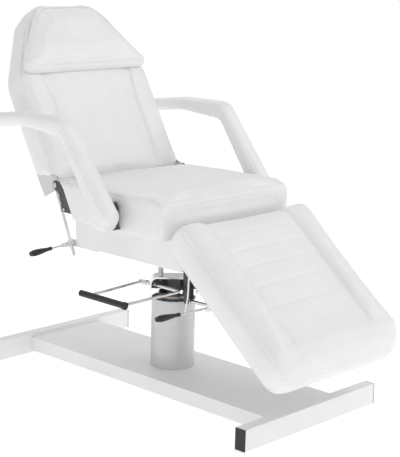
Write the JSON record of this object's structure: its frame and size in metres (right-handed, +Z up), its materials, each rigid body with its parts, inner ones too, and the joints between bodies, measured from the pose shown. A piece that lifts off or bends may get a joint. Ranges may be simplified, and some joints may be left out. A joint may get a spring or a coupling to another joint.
{
  "type": "hydraulic beauty treatment chair",
  "caption": "Pump-lifted reclining treatment chair: padded seat, tapered back with head pillow, tilting leg rest, bent armrests and strut levers on a column with a flat H-shaped foot.",
  "frame": {"origin": "on the floor, under the middle of the whole chair's bounding box; the column axis stands 40.67 mm towards +Y from it", "axes": "+Z up, -Y towards the sitter's feet, +Y towards the head, -X towards the sitter's right hand, the side with the levers"},
  "size_m": [0.826, 1.4392, 1.2801],
  "materials": {
    "white_upholstery": "satin",
    "white_powder_coat": "satin",
    "grey_satin_steel": "satin",
    "chrome_steel": "polished",
    "bare_steel": "satin",
    "dark_steel": "satin",
    "bearing_bronze": "satin",
    "black_rubber": "satin",
    "seal_rubber": "matte",
    "plywood": "matte",
    "rear_panel": "matte"
  },
  "bodies": {
    "base": {"front_crossbar": "white_powder_coat", "rear_crossbar": "white_powder_coat", "crossbar_end_caps": "black_rubber", "base_platform": "white_powder_coat", "column_cover": "grey_satin_steel", "pump_flange": "bare_steel", "flange_bolts": "bare_steel", "guide_tube": "bare_steel", "guide_bush": "bearing_bronze", "piston_rod": "chrome_steel", "piston_seal": "seal_rubber"},
    "lift": {"lift_cylinder": "chrome_steel", "swivel_spindle": "bare_steel", "thrust_washer": "bearing_bronze"},
    "chair": {"swivel_hub": "dark_steel", "saddle": "chrome_steel", "saddle_web": "dark_steel", "saddle_spacers": "bare_steel", "saddle_bolts": "dark_steel", "mounting_plate": "dark_steel", "frame_rails": "white_powder_coat", "frame_posts": "white_powder_coat", "frame_crossmembers": "white_powder_coat", "seat_board": "plywood", "seat_cushion": "white_upholstery", "seat_skirt": "white_powder_coat", "back_hinge_brackets": "dark_steel", "hinge_pins": "bare_steel", "bracket_bolts": "bare_steel", "leg_hinge_lugs": "dark_steel", "back_clamp_arm": "white_powder_coat", "leg_strut_lug": "dark_steel", "lever_bearing": "bare_steel", "arm_sockets": "dark_steel"},
    "backrest": {"back_cushion": "white_upholstery", "back_board": "rear_panel", "back_rails": "white_powder_coat", "back_hinge_plates": "grey_satin_steel", "back_strut_lug": "dark_steel", "head_pillow": "white_upholstery"},
    "legrest": {"leg_cushion": "white_upholstery", "leg_board": "rear_panel", "leg_frame": "white_powder_coat", "leg_strut_fork": "dark_steel"},
    "leg_rod": {"leg_strut_rod": "chrome_steel"},
    "leg_tube": {"leg_strut_tube": "chrome_steel", "leg_clamp_collar": "chrome_steel"},
    "leg_lever": {"leg_lever_rod": "chrome_steel", "leg_lever_grip": "black_rubber"},
    "back_clamp": {"back_clamp_block": "chrome_steel"},
    "back_rod": {"back_strut_rod": "chrome_steel"},
    "back_lever": {"back_lever_rod": "chrome_steel", "back_lever_grip": "black_rubber"},
    "pump_lever": {"pump_lever_arms": "chrome_steel", "pump_lever_grip": "black_rubber"},
    "release": {"release_rod": "chrome_steel"},
    "arm_left": {"arm_frame_left": "dark_steel", "arm_pad_left": "white_upholstery"},
    "arm_right": {"arm_frame_right": "dark_steel", "arm_pad_right": "white_upholstery"}
  },
  "joints": [
    {"name": "height_slide", "type": "slide", "parent": "base", "child": "lift", "axis": [0, 0, 1], "range_m": [0, 0.15]},
    {"name": "swivel", "type": "hinge", "parent": "lift", "child": "chair", "pos_m": [0, 0.04067, 0.33], "axis": [0, 0, 1], "continuous": true},
    {"name": "back_recline", "type": "hinge", "parent": "chair", "child": "backrest", "pos_m": [0, 0.31267, 0.687], "axis": [1, 0, 0], "range_deg": [-60.5, 12]},
    {"name": "leg_tilt", "type": "hinge", "parent": "chair", "child": "legrest", "pos_m": [0, -0.21333, 0.59], "axis": [-1, 0, 0], "range_deg": [-12, 40]},
    {"name": "back_clamp_tilt", "type": "hinge", "parent": "chair", "child": "back_clamp", "pos_m": [-0.2, 0.35167, 0.463], "axis": [1, 0, 0], "range_deg": [-25.5, 5.3]},
    {"name": "back_rod_slide", "type": "slide", "parent": "back_clamp", "child": "back_rod", "axis": [0, 0.4063, 0.9137], "range_m": [-0.171, 0.0345]},
    {"name": "back_lever_swing", "type": "hinge", "parent": "back_clamp", "child": "back_lever", "pos_m": [-0.229, 0.35167, 0.463], "axis": [0, 0.9137, -0.4063], "range_deg": [-35, 35]},
    {"name": "leg_rod_tilt", "type": "hinge", "parent": "chair", "child": "leg_rod", "pos_m": [-0.02, -0.05133, 0.307], "axis": [-1, 0, 0], "range_deg": [-9, 23]},
    {"name": "leg_tube_slide", "type": "slide", "parent": "leg_rod", "child": "leg_tube", "axis": [0, -0.9996, 0.0291], "range_m": [-0.067, 0.177]},
    {"name": "leg_lever_swing", "type": "hinge", "parent": "leg_tube", "child": "leg_lever", "pos_m": [-0.049, -0.1698, 0.31045], "axis": [0, -0.0291, -0.9996], "range_deg": [-35, 5]},
    {"name": "pump_pedal", "type": "hinge", "parent": "chair", "child": "pump_lever", "pos_m": [-0.058, 0.04067, 0.345], "axis": [0, -1, 0], "range_deg": [0, 20], "stiffness_Nm_per_rad": 12, "springref_deg": -20.05},
    {"name": "release_rod_swing", "type": "hinge", "parent": "chair", "child": "release", "pos_m": [-0.06, -0.08833, 0.41], "axis": [1, 0, 0], "range_deg": [-8, 8], "stiffness_Nm_per_rad": 1},
    {"name": "arm_left_lift", "type": "slide", "parent": "chair", "child": "arm_left", "axis": [0, 0, 1], "range_m": [0, 0.06]},
    {"name": "arm_right_lift", "type": "slide", "parent": "chair", "child": "arm_right", "axis": [0, 0, 1], "range_m": [0, 0.06]}
  ],
  "couplings": [
    {"joint": "back_clamp_tilt", "follows": "back_recline", "ratio": 0.4148},
    {"joint": "back_rod_slide", "follows": "back_recline", "m_per_rad": 0.16103},
    {"joint": "leg_rod_tilt", "follows": "leg_tilt", "ratio": 0.5626},
    {"joint": "leg_tube_slide", "follows": "leg_tilt", "m_per_rad": 0.25256}
  ]
}
